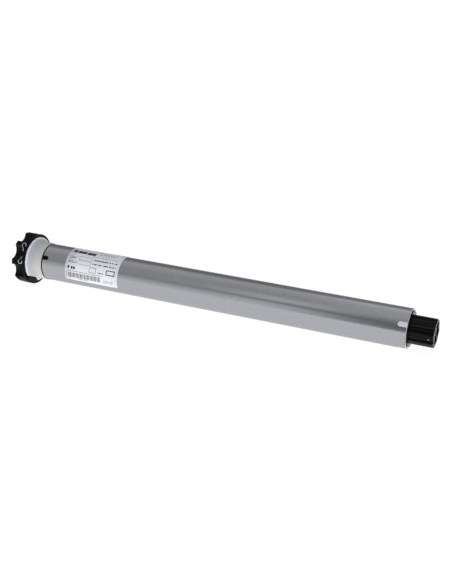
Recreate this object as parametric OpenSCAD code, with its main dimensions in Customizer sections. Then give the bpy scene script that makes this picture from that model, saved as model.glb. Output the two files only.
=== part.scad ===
// Tubular roller shutter motor with a star head, a free-turning crown ring and a fluted drive spigot.
// +X runs along the motor's axis from the head's mounting face to the drive end, and +Z is up.
// All sizes are millimetres. Angles in the YZ plane count from +Y towards +Z.

/* [Tube] */
// Outside diameter of the motor tube
tube_d = 45; // [44.6:0.1:46]
// Wall of the motor tube
tube_wall = 1.2; // [1:0.1:1.4]
// Length of the motor tube
tube_length = 455; // [450:5:620]
// Direction of the first slot in the tube's ends, counted from +Y
slot_angle = 145; // [130:1:160]
// Width of the key slots at the head end
head_slot_w = 5.2; // [4:0.1:6]
// Depth of the key slots at the head end
head_slot_l = 7.5; // [4:0.5:10]
// Width of the lug slots at the drive end
drive_slot_w = 5.7; // [4:0.1:7]
// Depth of the lug slots at the drive end
drive_slot_l = 10; // [6:0.5:14]

/* [Rating label] */
// Length of the label along the tube
label_length = 73; // [40:1:90]
// Distance from the tube's head end to the label
label_start = 33; // [20:1:60]
// Angle that the label wraps round the tube
label_wrap = 147; // [90:1:200]
// Direction of the label's far edge, counted from +Y
label_angle = 55; // [40:1:70]
// Thickness of the label film
label_t = 0.1; // [0.08:0.01:0.16]

/* [Star head] */
// How far the lobes of the star stand out past the crown's rim
lobe_reach = 4.05; // [3.8:0.05:6]
// Length of the star along the axis
star_length = 15; // [13:0.5:20]
// Number of lobes on the star
lobe_count = 8; // [8:4:8]
// Depth of the valleys between the lobes
valley_depth = 7.7; // [6:0.1:8.7]
// Radius of the valleys between the lobes
valley_r = 10; // [8.5:0.5:12]
// Direction of the first lobe, counted from +Y
lobe_angle = 124; // [119:1:129]
// Rounding of the star's outer edge
star_edge_r = 1.75; // [0.5:0.25:2]
// How far the flange behind the star stands out past the crown's rim
flange_reach = 3.75; // [2.5:0.05:5]
// Thickness of the flange behind the star
head_flange_t = 2; // [1.5:0.1:3]
// Diameter of the neck that the crown runs on
neck_d = 39; // [38.8:0.1:39.4]
// Circle of the four bracket screws
head_pcd = 46; // [45:0.5:48]
// Diameter of the holes for the bracket screws
head_hole_d = 4.2; // [3.3:0.1:5]
// Depth of the holes for the bracket screws
head_hole_depth = 11; // [8:0.5:13]

/* [Crown ring] */
// Diameter of the crown's rim
crown_rim_d = 55.3; // [52:0.1:58]
// Thickness of the crown's rim
crown_rim_t = 1.2; // [1:0.1:2]
// Diameter of the crown's sleeve
crown_sleeve_d = 46.2; // [45.8:0.1:47]
// Length of the crown along the axis
crown_length = 19.7; // [18:0.1:26]
// Length of the curved flare behind the rim
crown_flare_l = 10; // [7:0.5:12]

/* [Cable socket] */
// Width of the cable socket
socket_w = 14; // [12:0.5:14]
// Height of the cable socket
socket_h = 10; // [9:0.5:10]
// Depth of the cable socket
socket_depth = 13; // [11:0.5:13.5]
// Wall of the socket's insert
socket_wall = 1; // [0.8:0.1:1.2]

/* [Gears] */
// Module of the planetary gears and of the crown's internal gear
gear_module = 0.7; // [0.69:0.005:0.71]
// Teeth of the sun gears and of the limit pinion
sun_teeth = 12; // [12:1:12]
// Teeth of the planet gears
planet_teeth = 21; // [21:1:21]
// Pressure angle of all gears
pressure_angle = 25; // [22:1:28]
// Thinning of each tooth, for backlash
tooth_slack = 0.07; // [0.05:0.01:0.1]
// Width of the first stage's planets
planet_w_1 = 10; // [8:0.5:12]
// Width of the second stage's planets
planet_w_2 = 12; // [9:0.5:14]
// Width of the third stage's planets
planet_w_3 = 16; // [12:0.5:18]
// Diameter of the planet pins
planet_pin_d = 4; // [3:0.2:5]

/* [Motor] */
// Length of the stator's core
stator_length = 72; // [50:1:76]
// Number of slots in the stator
stator_slots = 12; // [8:2:12]
// Diameter of the rotor
rotor_d = 24; // [22:0.5:25]
// Air gap between rotor and stator, on the radius
air_gap = 0.3; // [0.2:0.05:0.5]
// Diameter of the rotor's shaft
shaft_d = 8; // [7:0.5:8]
// Diameter of the capacitor
capacitor_d = 30; // [24:1:32]
// Length of the capacitor
capacitor_length = 56; // [40:1:58]
// Diameter of the brake disc
brake_disc_d = 30; // [26:1:32]
// Travel of the brake's armature
brake_travel = 0.5; // [0.3:0.1:0.8]

/* [Limit switches] */
// Module of the counting wheels
wheel_module = 0.5; // [0.49:0.005:0.51]
// Teeth of the first wheel of each pair
wheel_teeth = 36; // [34:1:36]
// Distance of the two adjusting screws from the axis
adjuster_offset = 12; // [11.6:0.1:12.4]
// Diameter of the adjusting screws' heads
adjuster_d = 5; // [4.6:0.2:5.2]

/* [Output] */
// Diameter of the output shaft
output_shaft_d = 16; // [14:0.5:18]
// Length of the output bearing inside the tube
bearing_length = 58; // [50:1:66]
// Diameter over the lobes of the drive spigot
spigot_d = 32; // [30:0.5:34]
// Length of the drive spigot beyond its base flange
spigot_length = 26.5; // [22:0.5:30]
// Number of grooves in the drive spigot
groove_count = 8; // [4:4:8]
// Depth of the spigot's grooves
groove_depth = 2.5; // [1.5:0.1:2.8]
// Radius of the spigot's grooves
groove_r = 4.2; // [3.5:0.1:4.5]
// Diameter of the spigot's base flange
spigot_flange_d = 39.8; // [36:0.2:41]
// Diameter of the hole for the drive wheel's screw
wheel_screw_d = 4.2; // [3.3:0.1:5]

/* [Hidden] */
$fn = 96;

// clearances
run_gap = 0.05;
fit_gap = 0.05;
press_gap = 0.02;
side_gap = 0.5;
face_gap = 0.3;

// radii that follow from the tube
tube_r = tube_d / 2;
tube_ir = tube_r - tube_wall;
body_r = tube_ir - fit_gap;

// the guard over the crown's rim
guard_gap = 0.35;
guard_t = 1.5;
guard_foot_l = 9;
guard_tongue_l = 13.5;
guard_tongue_wrap = 15;
guard_wrap = 36;
guard_lead = 7.5;

// the head's stations along the axis
crown_rim_r = crown_rim_d / 2;
star_r = crown_rim_r + lobe_reach;
head_flange_r = crown_rim_r + flange_reach;
x_neck = star_length + head_flange_t;
neck_r = neck_d / 2;
x_crown = x_neck + 0.4;
x_crown_end = x_crown + crown_length;
x_housing = x_crown_end + face_gap;
housing_flange_t = 1.6;
housing_seat_l = 14;
window_w = 18;
x_tube = x_housing + housing_flange_t;
x_end = x_tube + tube_length;

// gears
gear_add = 0.8;
gear_ded = 1.05;
ring_teeth = sun_teeth + 2 * planet_teeth;
ring_pitch_r = ring_teeth * gear_module / 2;
ring_tip_r = ring_pitch_r - gear_add * gear_module;
ring_root_r = ring_pitch_r + gear_ded * gear_module;
sun_root_r = (sun_teeth / 2 - gear_ded) * gear_module;
sun_tip_r = (sun_teeth / 2 + gear_add) * gear_module;
planet_orbit_r = (sun_teeth + planet_teeth) * gear_module / 2;
planet_pin_r = planet_pin_d / 2;
plate_r = ring_tip_r - 0.7;

// gearbox, counted back from the drive end
planet_w = [planet_w_1, planet_w_2, planet_w_3];
plate_t = [3.5, 4.5, 7];
function stage_offset(i) = i == 0 ? 2
    : stage_offset(i - 1) + planet_w[i - 1] + plate_t[i - 1] + 2 * side_gap;
case_length = stage_offset(2) + planet_w[2] + plate_t[2] + 2 * side_gap;
x_bearing = x_end - bearing_length;
x_case = x_bearing - case_length;
function planet_x(i) = x_case + stage_offset(i);
function plate_x(i) = planet_x(i) + planet_w[i] + side_gap;
gearbox_flange_t = 6;
x_gearbox_flange = x_case - gearbox_flange_t;

// brake
brake_wall_t = 5;
brake_disc_t = 4;
armature_t = 5;
spring_room = 6;
brake_length = brake_wall_t + brake_disc_t + armature_t + spring_room + brake_travel + face_gap + 2 * fit_gap;
x_brake = x_gearbox_flange - brake_length;
x_brake_wall = x_gearbox_flange - brake_wall_t;
x_brake_disc = x_brake_wall - fit_gap - brake_disc_t;
x_armature = x_brake_disc - fit_gap - armature_t;
brake_bore_r = body_r - 2.6;
spring_r = shaft_d / 2 + 6;

// motor
shaft_r = shaft_d / 2;
rotor_r = rotor_d / 2;
stator_ir = rotor_r + air_gap;
shield_t = 8;
end_turn_l = 14;
bearing_w = 5;
x_rear_shield = x_brake - shield_t;
x_stator = x_rear_shield - face_gap - end_turn_l - stator_length;
x_front_shield = x_stator - end_turn_l - face_gap - shield_t;
slot_floor_r = body_r - 3.4;
slot_w = 3.6;
bearing_r = 8;
ball_r = 1.5;
ball_orbit_r = (shaft_r + bearing_r) / 2;
x_front_bearing = x_front_shield + shield_t - bearing_w;
x_rear_bearing = x_rear_shield + shield_t - bearing_w;

// capacitor, halfway between the limit unit and the motor
housing_length = 70;
x_housing_end = x_housing + housing_length;
x_capacitor = (x_housing_end + x_front_shield - capacitor_length) / 2;
capacitor_r = capacitor_d / 2;
cradle_w = 6;
wire_r = 0.9;
wire_orbit_r = body_r - 1.6;
wire_angles = [78, 86, 94, 102];

// limit unit
x_gear_zone = x_crown_end - 6.6;
neck_small_r = ring_tip_r - 0.24;
pinion_angle = 270;
pinion_orbit_r = (ring_teeth - sun_teeth) * gear_module / 2;
pinion_shaft_r = 1.9;
drive_teeth = 12;
wheel_gap = (drive_teeth + wheel_teeth) * wheel_module / 2;
axle_orbit_r = pinion_orbit_r - wheel_gap;
axle_r = 1.5;
housing_ir = body_r - 2.55;
frame_r = housing_ir - 0.3;
frame_t = 3;
tie_offset = 13;
tie_t = 3;
tie_h = 12;
x_frame = x_housing + 18;
x_frame_end = x_housing_end - frame_t - 1;
wheel_w = 3;
wheel_pitch = wheel_w + 1;
x_up_wheels = x_frame + frame_t + 5;
x_down_wheels = x_up_wheels + 18;
cam_r = (wheel_teeth - 1) * wheel_module / 2 - 1.2;
switch_l = 15;
switch_w = 6.4;
switch_h = 7;
lever_z = wheel_teeth * wheel_module / 2 + 1.4 - axle_orbit_r;
lever_t = 0.5;
lever_rise = 1.4;
switch_z = lever_z + lever_t + lever_rise;
lever_lead = 4 + wheel_w - 1;
nose_z = cam_r + 0.1 - axle_orbit_r;
adjuster_r = adjuster_d / 2;
adjuster_angles = [lobe_angle, lobe_angle + 360 / lobe_count];
channel_r = 5;
half_socket_w = socket_w / 2;
half_socket_h = socket_h / 2;

// output
output_r = output_shaft_d / 2;
bearing_wall_t = 7;
bearing_rim_t = 0.5;
bearing_rim_r = tube_r - 0.4;
bearing_recess = 0.2;
x_spigot = x_end + bearing_recess + face_gap;
spigot_flange_t = 1.5;
x_spigot_end = x_spigot + spigot_flange_t + spigot_length;
spigot_r = spigot_d / 2;
spigot_wall = 2;
hollow_depth = 4;
spigot_hub_r = 7;
hub_setback = 1.2;
pin_setback = hollow_depth + 1.6;
cross_pin_r = 0.8;
pin_turn = 11;
shaft_end_r = output_r - 2.5;
x_shaft_end = x_spigot_end - hollow_depth - 0.2;

// Turns the drawing plane to YZ, so that an extrusion runs along +X
module along_x() {
    rotate([90, 0, 90]) children();
}

// A round bar along X
module bar(r, x0, x1) {
    along_x() translate([0, 0, x0]) cylinder(r = r, h = x1 - x0);
}

// A round tube along X
module pipe(r_out, r_in, x0, x1) {
    difference() {
        bar(r_out, x0, x1);
        bar(r_in, x0 - 1, x1 + 1);
    }
}

// A solid turned about the axis from [radius, x] points
module turned(points) {
    along_x() rotate_extrude() polygon(points);
}

// A flat outline extruded along X
module slab(x0, x1) {
    along_x() translate([0, 0, x0]) linear_extrude(x1 - x0) children();
}

// Places children on a circle about the axis
module polar(r, angle) {
    translate([0, r * cos(angle), r * sin(angle)]) children();
}

// Involute angle at radius r, in degrees
function involute(base_r, r) = let (a = acos(base_r / r)) tan(a) * 180 / PI - a;

// Half of a tooth's angle at radius r
function half_tooth(teeth, m, r, slack) =
    let (pitch_r = teeth * m / 2, base_r = pitch_r * cos(pressure_angle))
    90 / teeth - slack / 2 / pitch_r * 180 / PI
        + involute(base_r, pitch_r) - involute(base_r, max(r, base_r));

// Outline of a spur gear, with a tooth centred on +X
function gear_outline(teeth, m, root_r, tip_r, slack, steps = 3) = [
    for (i = [0:teeth - 1], k = [0:2 * steps + 1])
        let (
            rising = k <= steps,
            f = (rising ? k : 2 * steps + 1 - k) / steps,
            r = root_r + (tip_r - root_r) * f,
            a = i * 360 / teeth + (rising ? -1 : 1) * half_tooth(teeth, m, r, slack)
        )
        [r * cos(a), r * sin(a)]
];

// A spur gear's flat shape
module gear_2d(teeth, m) {
    polygon(gear_outline(teeth, m, (teeth / 2 - gear_ded) * m, (teeth / 2 + gear_add) * m, tooth_slack));
}

// The space inside a ring gear, with a tooth space centred on +X
module ring_space_2d() {
    polygon(gear_outline(ring_teeth, gear_module, ring_tip_r, ring_root_r, -tooth_slack));
}

// Circle with scallops cut into it, with a lobe centred on +X
module scalloped_2d(r, count, depth, cut_r) {
    difference() {
        circle(r = r);
        for (i = [0:count - 1])
            rotate((i + 0.5) * 360 / count) translate([r - depth + cut_r, 0]) circle(r = cut_r);
    }
}

// Four slots in an end of the tube, from the open end x_open to a round end at x_round
module end_slots(width, x_open, x_round) {
    inwards = x_round > x_open ? 1 : -1;
    x_centre = x_round - inwards * width / 2;
    for (i = [0:3])
        rotate([slot_angle + i * 90, 0, 0]) translate([0, tube_ir - 3, 0]) {
            translate([min(x_open, x_centre), 0, -width / 2]) cube([abs(x_centre - x_open), 6, width]);
            translate([x_centre, 0, 0]) rotate([-90, 0, 0]) cylinder(r = width / 2, h = 6);
        }
}

// Lugs that fill the tube's slots
module end_lugs(width, x_open, x_round) {
    intersection() {
        end_slots(width - 2 * fit_gap, x_open, x_round);
        pipe(tube_r, body_r - 1, min(x_open, x_round), max(x_open, x_round));
    }
}

module motor_tube() {
    color("silver") difference() {
        pipe(tube_r, tube_ir, x_tube, x_end);
        end_slots(head_slot_w, x_tube - 1, x_tube + head_slot_l);
        end_slots(drive_slot_w, x_end + 1, x_end - drive_slot_l);
    }
}

module rating_label() {
    color("white") along_x() translate([0, 0, x_tube + label_start])
        rotate(label_angle) rotate_extrude(angle = label_wrap)
            translate([tube_r + fit_gap, 0]) square([label_t, label_length]);
}

// The star's solid before anything is cut from it
module star_blank() {
    turn = 360 / lobe_count;
    intersection() {
        slab(0, star_length) union() {
            rotate(lobe_angle) scalloped_2d(star_r, lobe_count, valley_depth, valley_r);
            // the valley that holds the crown guard's foot is filled
            intersection() {
                circle(r = star_r - 0.6);
                rotate(lobe_angle + 2 * turn)
                    polygon([[0, 0], [2 * star_r, 0], [2 * star_r * cos(turn), 2 * star_r * sin(turn)]]);
            }
        }
        along_x() rotate_extrude() {
            square([star_r - star_edge_r, star_length]);
            translate([0, star_edge_r]) square([star_r + 1, star_length - star_edge_r]);
            translate([star_r - star_edge_r, star_edge_r]) circle(r = star_edge_r);
        }
    }
    bar(head_flange_r, star_length, x_neck);
}

// Eight pockets with ribs between them in the star's outer face
module face_pockets() {
    turn = 360 / lobe_count;
    inner_r = adjuster_offset + adjuster_r + 1.5;
    outer_r = head_pcd / 2 - head_hole_d / 2 - 1;
    for (i = [0:lobe_count - 1])
        along_x() translate([0, 0, -1]) rotate(lobe_angle + i * turn - turn / 2 + 6)
            rotate_extrude(angle = turn - 12)
                translate([inner_r, 0]) square([outer_r - inner_r, 8]);
}

module head_star() {
    color([0.1, 0.1, 0.11]) difference() {
        star_blank();
        translate([-1, -half_socket_w, -half_socket_h]) cube([socket_depth + 1, socket_w, socket_h]);
        bar(channel_r, socket_depth - 1, x_neck + 1);
        face_pockets();
        for (i = [0:3])
            polar(head_pcd / 2, lobe_angle + i * 90) bar(head_hole_d / 2, -1, head_hole_depth);
        for (a = adjuster_angles)
            polar(adjuster_offset, a) bar(adjuster_r + run_gap, -1, x_neck + 1);
        guard_shape(fit_gap);
    }
}

// The neck that the crown turns on, screwed to the back of the star
module head_neck() {
    color([0.12, 0.12, 0.13]) difference() {
        union() {
            bar(neck_r, x_neck, x_gear_zone - face_gap);
            bar(neck_small_r, x_gear_zone - 1, x_housing);
        }
        bar(channel_r, x_neck - 1, x_housing + 1);
        for (a = adjuster_angles)
            polar(adjuster_offset, a) bar(adjuster_r + run_gap, x_neck - 1, x_housing + 1);
        polar(pinion_orbit_r, pinion_angle) bar(sun_tip_r + 0.24, x_gear_zone - face_gap, x_housing + 1);
    }
}

// The guard's foot sits in a groove of the star, and its tongue reaches over the crown's rim
module guard_shape(gap) {
    turn = 360 / lobe_count;
    inner_r = crown_rim_r + guard_gap;
    along_x() rotate(lobe_angle + 2 * turn - guard_lead) {
        rotate_extrude(angle = guard_wrap) translate([inner_r - gap, star_length - guard_foot_l])
            square([star_r + 1 - inner_r + gap, guard_foot_l + head_flange_t + (gap > 0 ? 1 : 0)]);
        rotate_extrude(angle = guard_tongue_wrap) translate([inner_r, star_length - 1])
            square([guard_t, 1 + head_flange_t + guard_tongue_l]);
    }
}

module crown_guard() {
    color([0.12, 0.12, 0.13]) intersection() {
        guard_shape(0);
        bar(head_flange_r, 0, x_tube);
    }
}

module cable_socket() {
    color("dimgray") difference() {
        translate([0.5, -half_socket_w + fit_gap, -half_socket_h + fit_gap])
            cube([socket_depth - 0.5, socket_w - 2 * fit_gap, socket_h - 2 * fit_gap]);
        translate([0, -half_socket_w + socket_wall, -half_socket_h + socket_wall])
            cube([socket_depth - 1.5, socket_w - 2 * socket_wall, socket_h - 2 * socket_wall]);
        contact_places() bar(0.8, 0, x_neck);
    }
}

// The four contacts, in two rows
module contact_places() {
    for (y = [-2.6, 2.6], z = [-1.6, 1.6])
        translate([0, y, z]) children();
}

module contact_pins() {
    color("goldenrod") contact_places() bar(0.8, 4.6, socket_depth + 2);
}

// Outer radius of the crown at u, which runs from 0 at the rim to 1 at the sleeve
function flare_r(u) = crown_sleeve_d / 2 + (crown_rim_r - 1 - crown_sleeve_d / 2) * pow(1 - u, 2.4);

module crown_ring() {
    flare = [for (i = [0:10]) [flare_r(i / 10), x_crown + crown_rim_t + crown_flare_l * i / 10]];
    color("ivory") difference() {
        turned(concat(
            [[ring_tip_r, x_crown_end], [ring_tip_r, x_gear_zone], [neck_r + run_gap, x_gear_zone],
             [neck_r + run_gap, x_crown], [crown_rim_r, x_crown],
             [crown_rim_r, x_crown + crown_rim_t]],
            flare,
            [[crown_sleeve_d / 2, x_crown_end - 0.6], [crown_sleeve_d / 2 - 0.6, x_crown_end]]
        ));
        slab(x_gear_zone - 0.1, x_crown_end + 1) rotate(pinion_angle) ring_space_2d();
    }
}

module limit_housing() {
    color([0.13, 0.13, 0.14]) difference() {
        union() {
            bar(tube_r - 0.2, x_housing, x_tube);
            bar(body_r, x_housing, x_tube + housing_seat_l);
            bar(body_r - 0.35, x_tube + housing_seat_l - 1, x_housing_end);
            end_lugs(head_slot_w, x_tube - 0.5, x_tube + head_slot_l - fit_gap);
        }
        bar(housing_ir, x_housing + 4, x_housing_end + 1);
        bar(channel_r, x_housing - 1, x_housing + 5);
        polar(pinion_orbit_r, pinion_angle) bar(pinion_shaft_r + run_gap, x_housing - 1, x_housing + 5);
        for (a = adjuster_angles)
            polar(adjuster_offset, a) bar(adjuster_r + run_gap, x_housing - 1, x_housing + 5);
        // window over the switches
        translate([x_frame + frame_t, -window_w / 2, 0])
            cube([x_frame_end - x_frame - frame_t, window_w, tube_d]);
    }
}

// Two round plates, tied by bars, that carry the axle, the pinion's shaft and the switches
module limit_frame() {
    color("whitesmoke") difference() {
        union() {
            bar(frame_r, x_frame, x_frame + frame_t);
            bar(frame_r, x_frame_end, x_frame_end + frame_t);
            for (side = [-1, 1])
                translate([x_frame, side * tie_offset - tie_t / 2, -5])
                    cube([x_frame_end - x_frame + 1, tie_t, tie_h]);
            translate([x_frame, -switch_w / 2, switch_z + switch_h])
                cube([x_frame_end - x_frame + 1, switch_w, 1.5]);
        }
        polar(pinion_orbit_r, pinion_angle) bar(pinion_shaft_r + run_gap, x_frame - 1, x_frame_end + frame_t + 1);
        polar(axle_orbit_r, pinion_angle) bar(axle_r + press_gap, x_frame - 1, x_frame_end + frame_t + 1);
        for (a = adjuster_angles)
            polar(adjuster_offset, a) bar(1.8 + run_gap, x_frame - 1, x_frame + frame_t + 1);
        for (a = wire_angles)
            polar(wire_orbit_r - 0.7, a) bar(2.6, x_frame - 1, x_frame_end + frame_t + 1);
    }
}

module wheel_axle() {
    color("silver") polar(axle_orbit_r, pinion_angle) bar(axle_r, x_frame + 0.5, x_frame_end + frame_t - 0.5);
}

module limit_pinion() {
    color("white") polar(pinion_orbit_r, pinion_angle) {
        slab(x_gear_zone + 0.2, x_crown_end - 0.2) rotate(pinion_angle) gear_2d(sun_teeth, gear_module);
        bar(pinion_shaft_r, x_crown_end - 0.5, x_frame_end + frame_t);
        slab(x_up_wheels - 2, x_down_wheels + 2 * wheel_pitch + 1) rotate(pinion_angle)
            gear_2d(drive_teeth, wheel_module);
    }
}

// A counting wheel: a toothed rim beside a cam disc with one notch
module counting_wheel(teeth, x) {
    color("linen") polar(axle_orbit_r, pinion_angle) difference() {
        union() {
            slab(x, x + wheel_w - 1) rotate(pinion_angle + 180 / teeth) gear_2d(teeth, wheel_module);
            slab(x, x + wheel_w) difference() {
                circle(r = cam_r);
                rotate(pinion_angle + 60) translate([cam_r, 0]) circle(r = 1.4);
            }
        }
        bar(axle_r + run_gap, x - 1, x + wheel_w + 1);
    }
}

module up_wheel_a() { counting_wheel(wheel_teeth, x_up_wheels); }

module up_wheel_b() { counting_wheel(wheel_teeth - 1, x_up_wheels + wheel_pitch); }

module down_wheel_a() { counting_wheel(wheel_teeth, x_down_wheels); }

module down_wheel_b() { counting_wheel(wheel_teeth - 1, x_down_wheels + wheel_pitch); }

// A microswitch, with its button facing the lever and the lever's bearing ears below its end
module microswitch(x) {
    color([0.15, 0.15, 0.17]) {
        translate([x, -switch_w / 2, switch_z]) cube([switch_l, switch_w, switch_h]);
        translate([x + 9, -1, switch_z - 0.5]) cube([2.4, 2, 1]);
        for (side = [-1, 1])
            translate([x - 0.6, side * 2.7 - 0.5, lever_z - 0.9]) difference() {
                cube([3, 1, switch_z - lever_z + 1.4]);
                translate([1.5, -1, 1.2]) rotate([-90, 0, 0]) cylinder(r = 0.6 + run_gap, h = 3);
            }
    }
}

// A switch lever: a strip with two noses that ride on the wheels' cams
module switch_lever(x) {
    color("silver") {
        translate([x + 0.9, 0, lever_z + 0.3]) rotate([90, 0, 0]) cylinder(r = 0.6, h = 6.6, center = true);
        translate([x + 0.9, -2, lever_z]) cube([switch_l - 2, 4, lever_t]);
        for (i = [0, 1])
            translate([x + lever_lead + i * wheel_pitch + 0.15, -0.8, nose_z])
                cube([0.7, 1.6, lever_z - nose_z + 0.1]);
    }
}

module up_switch() { microswitch(x_up_wheels - 4); }

module down_switch() { microswitch(x_down_wheels - 4); }

module up_lever() { switch_lever(x_up_wheels - 4); }

module down_lever() { switch_lever(x_down_wheels - 4); }

// An adjusting screw with a hexagon socket, a collar and a journal in the limit frame
module adjuster(angle) {
    polar(adjuster_offset, angle) difference() {
        union() {
            bar(adjuster_r, 1, x_housing + 3);
            bar(1.8, x_housing + 2, x_frame + frame_t);
            bar(adjuster_r, x_frame - 6, x_frame - face_gap);
        }
        slab(0, 5) circle(r = adjuster_r * 0.62, $fn = 6);
    }
}

module up_adjuster() { color("white") adjuster(adjuster_angles[0]); }

module down_adjuster() { color("gold") adjuster(adjuster_angles[1]); }

module lead_wires() {
    color("royalblue") {
        for (a = wire_angles)
            polar(wire_orbit_r, a) bar(wire_r, x_housing_end, x_stator - end_turn_l);
        contact_places() bar(wire_r, socket_depth + 2, x_frame);
    }
}

module capacitor() {
    color("whitesmoke") {
        bar(capacitor_r, x_capacitor, x_capacitor + capacitor_length);
        for (y = [-4, 4])
            translate([0, y, 0]) bar(1.2, x_capacitor + capacitor_length - 1, x_capacitor + capacitor_length + 7);
    }
}

// Two rings that centre the capacitor, tied by three ribs
module capacitor_cradle() {
    x_far = x_capacitor + capacitor_length - 4 - cradle_w;
    color([0.2, 0.2, 0.22]) difference() {
        union() {
            pipe(body_r, capacitor_r + press_gap, x_capacitor + 4, x_capacitor + 4 + cradle_w);
            pipe(body_r, capacitor_r + press_gap, x_far, x_far + cradle_w);
            for (a = [150, 270, 30])
                rotate([a, 0, 0]) translate([x_capacitor + 5, capacitor_r + 1, -2])
                    cube([x_far - x_capacitor - 4, 2.5, 4]);
        }
        for (a = wire_angles)
            polar(wire_orbit_r, a) bar(wire_r + 0.5, x_capacitor, x_capacitor + capacitor_length);
    }
}

// Laminated core with slots that open into the bore
module stator_core() {
    color("slategray") slab(x_stator, x_stator + stator_length) difference() {
        circle(r = body_r);
        circle(r = stator_ir);
        slot_places() {
            square([slot_floor_r, 1.6]);
            translate([stator_ir + 1, -slot_w / 2]) square([slot_floor_r - stator_ir - 1, slot_w]);
        }
    }
}

module slot_places() {
    for (i = [0:stator_slots - 1])
        rotate((i + 0.5) * 360 / stator_slots) children();
}

// Coils: bars in the slots and a ring of end turns at each end of the core
module stator_winding() {
    color("chocolate") {
        slab(x_stator - 1, x_stator + stator_length + 1) slot_places()
            translate([stator_ir + 1.2, -slot_w / 2 + 0.2])
                square([slot_floor_r - stator_ir - 1.4, slot_w - 0.4]);
        for (x = [x_stator - end_turn_l, x_stator + stator_length + 0.5])
            along_x() translate([0, 0, x]) rotate_extrude()
                polygon([[stator_ir + 1.2, 0], [slot_floor_r - 0.2, 0], [slot_floor_r + 1, 2],
                    [slot_floor_r + 1, end_turn_l - 4], [slot_floor_r - 0.2, end_turn_l - 0.5],
                    [stator_ir + 1.2, end_turn_l - 0.5]]);
    }
}

// An end shield: a plate with a bearing seat, open to the side that the bearing goes in from
module end_shield(x, seat_x) {
    color("darkgray") difference() {
        bar(body_r, x, x + shield_t);
        bar(bearing_r + press_gap, seat_x, seat_x + bearing_w + 1);
        bar(shaft_r + 1, x - 1, x + shield_t + 1);
        for (i = [0:5])
            polar((bearing_r + body_r) / 2, i * 60) bar(3, x - 1, x + shield_t + 1);
        for (a = wire_angles)
            polar(wire_orbit_r, a) bar(wire_r + 0.4, x - 1, x + shield_t + 1);
    }
}

module front_end_shield() { end_shield(x_front_shield, x_front_shield + shield_t - bearing_w); }

module rear_end_shield() { end_shield(x_rear_shield, x_rear_shield + shield_t - bearing_w); }

// A bearing ring between two radii, with its ball groove
module bearing_ring(r_in, r_out, x) {
    color("lightgray") along_x() translate([0, 0, x]) rotate_extrude() difference() {
        translate([r_in, 0]) square([r_out - r_in, bearing_w]);
        translate([ball_orbit_r, bearing_w / 2]) circle(r = ball_r + run_gap);
    }
}

module bearing_outer_rings() {
    for (x = [x_front_bearing, x_rear_bearing]) bearing_ring(ball_orbit_r + 1, bearing_r, x);
}

module bearing_inner_rings() {
    for (x = [x_front_bearing, x_rear_bearing]) bearing_ring(shaft_r + press_gap, ball_orbit_r - 1, x);
}

module bearing_balls() {
    color("white") for (x = [x_front_bearing, x_rear_bearing], i = [0:6])
        polar(ball_orbit_r, i * 360 / 7) translate([x + bearing_w / 2, 0, 0]) sphere(r = ball_r, $fn = 32);
}

module rotor_core() {
    color("dimgray") difference() {
        union() {
            bar(rotor_r, x_stator, x_stator + stator_length);
            bar(rotor_r - 1, x_stator - 5, x_stator + stator_length + 5);
        }
        bar(shaft_r + press_gap, x_stator - 6, x_stator + stator_length + 6);
    }
}

module rotor_shaft() {
    color("silver") {
        bar(shaft_r, x_front_bearing - 2, x_brake_wall + brake_wall_t);
        bar(sun_root_r - 1, x_brake_wall, planet_x(0) + planet_w[0]);
    }
}

module sun_gear_1() {
    color("gainsboro") difference() {
        slab(planet_x(0) - 1, planet_x(0) + planet_w[0]) gear_2d(sun_teeth, gear_module);
        bar(sun_root_r - 1 + press_gap, x_case - 1, planet_x(0) + planet_w[0] + 1);
    }
}

module brake_disc() {
    color("saddlebrown") difference() {
        union() {
            bar(brake_disc_d / 2, x_brake_disc, x_brake_disc + brake_disc_t);
            bar(shaft_r + 2, x_brake_disc - 4, x_brake_disc + 1);
        }
        bar(shaft_r + press_gap, x_brake_disc - 5, x_brake_disc + brake_disc_t + 1);
    }
}

// The plate that clamps the brake disc. Three ears keep it from turning
module brake_armature() {
    color("darkgray") difference() {
        slab(x_armature, x_armature + armature_t) difference() {
            circle(r = brake_bore_r - 0.1);
            circle(r = shaft_r + 2.6);
            for (i = [0:2])
                rotate(i * 120 + 60) translate([brake_bore_r, 0]) circle(r = 2.2);
        }
        pipe(spring_r + 0.9, spring_r - 0.9, x_armature - 1, x_armature + 1.5);
    }
}

// Compression spring, drawn as closed coils side by side at its working length
module brake_spring() {
    coil_r = 0.55;
    room = x_armature + 1.5 - x_brake;
    turns = 5;
    color("silver") for (i = [0:turns - 1])
        along_x() translate([0, 0, x_brake + coil_r + 0.02 + i * (room - 2 * coil_r - 0.04) / (turns - 1)])
            rotate_extrude() translate([spring_r, 0]) circle(r = coil_r, $fn = 16);
}

// The cup round the brake. Its end wall carries the friction face
module brake_housing() {
    color("lightslategray") {
        difference() {
            union() {
                pipe(body_r, brake_bore_r, x_brake, x_gearbox_flange);
                bar(body_r, x_brake_wall, x_gearbox_flange);
                for (i = [0:2])
                    polar(brake_bore_r, i * 120 + 60) bar(2, x_brake, x_gearbox_flange);
            }
            bar(shaft_r + 1, x_brake - 1, x_gearbox_flange + 1);
            bar(shaft_r + 4, x_gearbox_flange - 2, x_gearbox_flange + 1);
        }
    }
}

module gearbox_flange() {
    color("darkslategray") difference() {
        bar(body_r, x_gearbox_flange, x_case);
        bar(sun_tip_r + 0.8, x_gearbox_flange - 1, x_case + 1);
        for (i = [0:2])
            polar(planet_orbit_r + 2, i * 120 + 60) bar(2.4, x_gearbox_flange - 1, x_gearbox_flange + 3);
    }
}

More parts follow.
